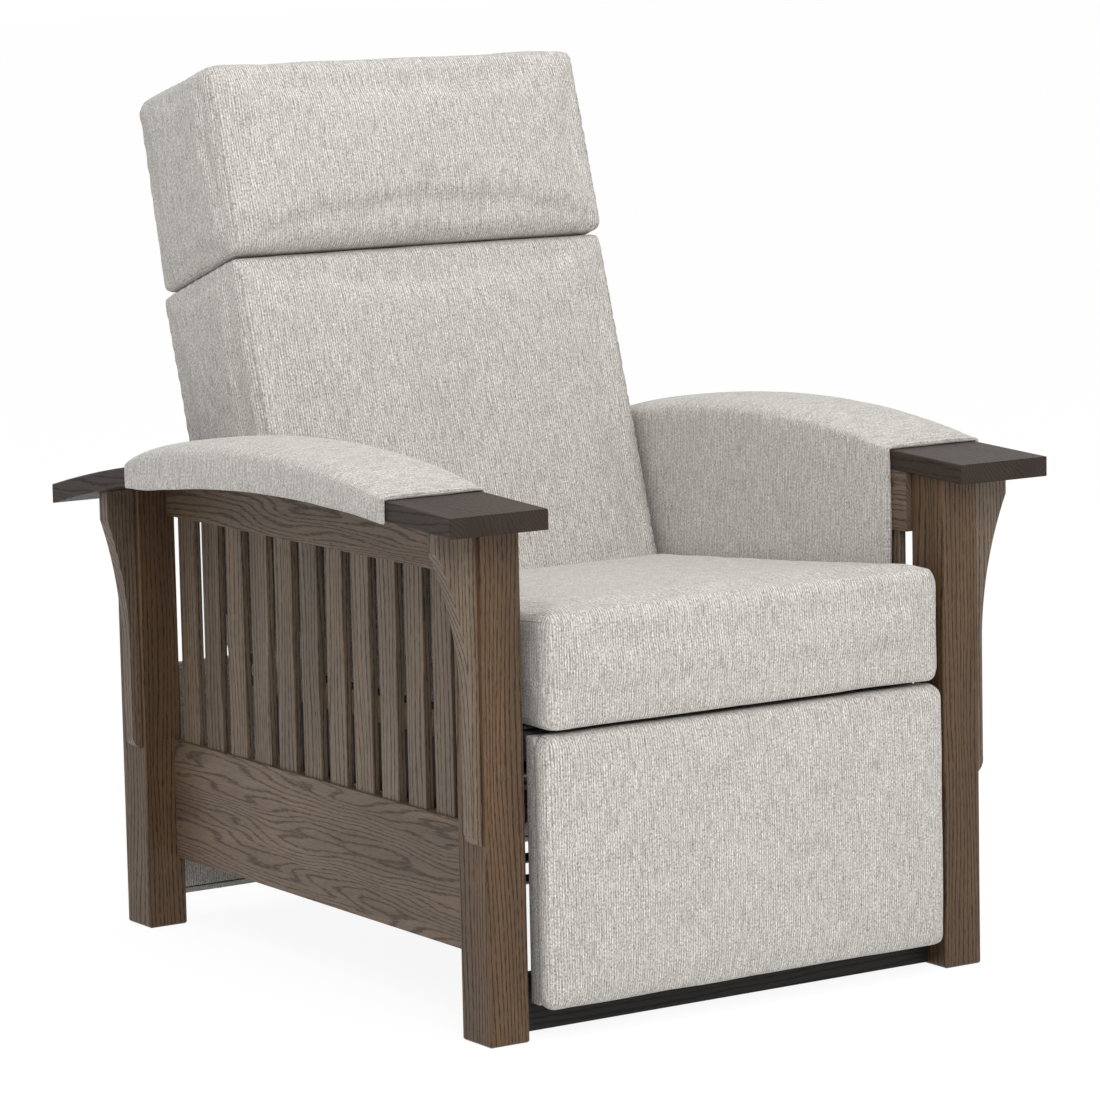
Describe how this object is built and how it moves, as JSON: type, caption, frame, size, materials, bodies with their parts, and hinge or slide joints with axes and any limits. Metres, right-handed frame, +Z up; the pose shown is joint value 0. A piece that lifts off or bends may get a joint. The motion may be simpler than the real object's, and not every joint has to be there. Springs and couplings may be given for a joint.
{
  "type": "reclining armchair",
  "caption": "Mission style reclining armchair: slatted sides, bowed flat arms on shaped brackets, padded arm covers, crowned seat, two-part back, fold-out footrest on scissor links.",
  "frame": {"origin": "on the floor, under the middle of the overall width and depth", "axes": "+Z up, the chair faces -Y, +X to the right when facing its front"},
  "size_m": [0.8446, 0.951, 1.0802],
  "materials": {
    "oak_upright": "stained, satin",
    "oak_lengthwise": "stained, satin",
    "oak_crosswise": "stained, satin",
    "frame_hardwood": "raw",
    "plywood": "raw",
    "woven_fabric": "heathered weave",
    "webbing": "woven strap",
    "felt": "needled felt",
    "black_steel": "satin black",
    "zinc_steel": "zinc plated",
    "nylon": "satin"
  },
  "bodies": {
    "frame": {"left_front_leg": "oak_upright", "left_rear_leg": "oak_upright", "left_lower_rail": "oak_lengthwise", "left_upper_rail": "oak_lengthwise", "left_slats": "oak_upright", "left_arm": "oak_lengthwise", "left_front_corbel": "oak_upright", "left_rear_corbel": "oak_upright", "left_arm_cover": "woven_fabric", "left_arm_panel": "woven_fabric", "left_base_track": "black_steel", "right_front_leg": "oak_upright", "right_rear_leg": "oak_upright", "right_lower_rail": "oak_lengthwise", "right_upper_rail": "oak_lengthwise", "right_slats": "oak_upright", "right_arm": "oak_lengthwise", "right_front_corbel": "oak_upright", "right_rear_corbel": "oak_upright", "right_arm_cover": "woven_fabric", "right_arm_panel": "woven_fabric", "right_base_track": "black_steel", "front_stretcher": "oak_crosswise", "rear_apron": "woven_fabric", "rear_rail": "oak_crosswise", "base_tubes": "black_steel", "base_bolts": "zinc_steel"},
    "seat": {"left_seat_plate": "black_steel", "right_seat_plate": "black_steel", "seat_side_rails": "frame_hardwood", "seat_front_rail": "frame_hardwood", "seat_rear_rail": "frame_hardwood", "glide_blocks": "nylon", "seat_bolts": "zinc_steel", "seat_webbing": "webbing", "seat_decking": "felt", "seat_cushion": "woven_fabric"},
    "back": {"back_cushion": "woven_fabric", "head_cushion": "woven_fabric", "back_cover": "woven_fabric", "head_cover": "woven_fabric", "back_stiles": "frame_hardwood", "back_rails": "frame_hardwood", "back_webbing": "webbing", "head_board": "plywood", "left_back_bracket": "black_steel", "right_back_bracket": "black_steel", "hinge_washers": "zinc_steel", "back_bolts": "zinc_steel"},
    "rear_links": {"rear_links": "black_steel", "drive_tube": "black_steel"},
    "cross_links": {"cross_links": "black_steel", "guide_rod": "black_steel"},
    "front_links": {"front_links": "black_steel", "tie_rod": "black_steel"},
    "stay_links": {"stay_links": "black_steel"},
    "footrest": {"footrest_pad": "woven_fabric", "footrest_board": "plywood", "footrest_brackets": "black_steel", "footrest_screws": "zinc_steel"}
  },
  "joints": [
    {"name": "seat_glide", "type": "slide", "parent": "frame", "child": "seat", "axis": [0, -1, 0], "range_m": [0, 0.045]},
    {"name": "back_recline", "type": "hinge", "parent": "seat", "child": "back", "pos_m": [0, 0.2135, 0.345], "axis": [-1, 0, 0], "range_deg": [0, 30]},
    {"name": "footrest_extend", "type": "hinge", "parent": "seat", "child": "rear_links", "pos_m": [0, -0.3145, 0.291], "axis": [-1, 0, 0], "range_deg": [0, 104]},
    {"name": "cross_link_fold", "type": "hinge", "parent": "rear_links", "child": "cross_links", "pos_m": [0, -0.28023, 0.20401], "axis": [-1, 0, 0], "range_deg": [-115, 0]},
    {"name": "front_link_fold", "type": "hinge", "parent": "rear_links", "child": "front_links", "pos_m": [0, -0.24596, 0.11701], "axis": [-1, 0, 0], "range_deg": [-115, 0]},
    {"name": "stay_link_fold", "type": "hinge", "parent": "cross_links", "child": "stay_links", "pos_m": [0, -0.34459, 0.27183], "axis": [-1, 0, 0], "range_deg": [0, 115]},
    {"name": "footrest_turn", "type": "hinge", "parent": "front_links", "child": "footrest", "pos_m": [0, -0.37469, 0.25266], "axis": [-1, 0, 0], "range_deg": [0, 101]}
  ],
  "couplings": [
    {"joint": "seat_glide", "follows": "back_recline", "m_per_rad": 0.085944},
    {"joint": "cross_link_fold", "follows": "footrest_extend", "ratio": -1.1058},
    {"joint": "front_link_fold", "follows": "footrest_extend", "ratio": -1.1058},
    {"joint": "stay_link_fold", "follows": "footrest_extend", "ratio": 1.1058},
    {"joint": "footrest_turn", "follows": "footrest_extend", "ratio": 0.97115}
  ]
}
